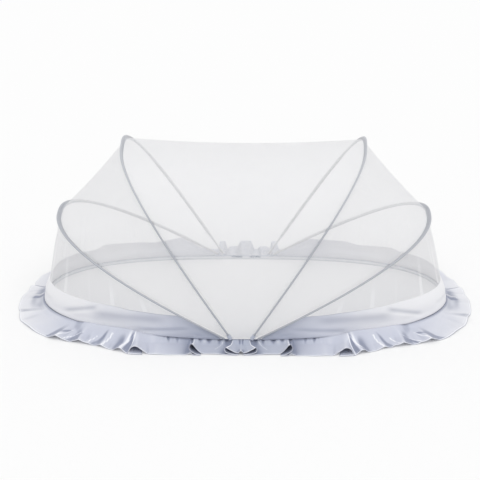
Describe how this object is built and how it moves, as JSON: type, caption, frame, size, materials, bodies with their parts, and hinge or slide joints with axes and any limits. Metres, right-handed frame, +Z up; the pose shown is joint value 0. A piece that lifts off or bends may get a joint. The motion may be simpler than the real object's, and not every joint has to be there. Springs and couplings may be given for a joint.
{
  "type": "foldable baby mosquito net",
  "caption": "Foldable net cover for a lying baby: bound wire ribs fan out over an oval base, with sheer net, a low cloth band and a gathered skirt.",
  "frame": {"origin": "on the surface that the net stands on, under the middle of the footprint", "axes": "+X along the length, -Y is the front, +Z up"},
  "size_m": [1.2338, 0.7288, 0.4552],
  "materials": {
    "net": "sheer fine polyester mesh",
    "binding": "matt woven binding tape",
    "cloth": "thin plain-woven polyester",
    "tape": "matt woven tape",
    "pocket": "pale woven tape"
  },
  "bodies": {
    "root": {"rib_tall_left": "binding", "rib_tall_right": "binding", "rib_low_left": "binding", "rib_low_right": "binding", "net_top": "net", "net_shoulder_left": "net", "net_shoulder_right": "net", "net_end_left": "net", "net_end_right": "net", "band_left": "cloth", "band_right": "cloth", "base_tape": "tape", "skirt": "cloth", "pocket_front_left": "pocket", "pocket_front_right": "pocket", "pocket_rear_left": "pocket", "pocket_rear_right": "pocket"}
  },
  "joints": []
}
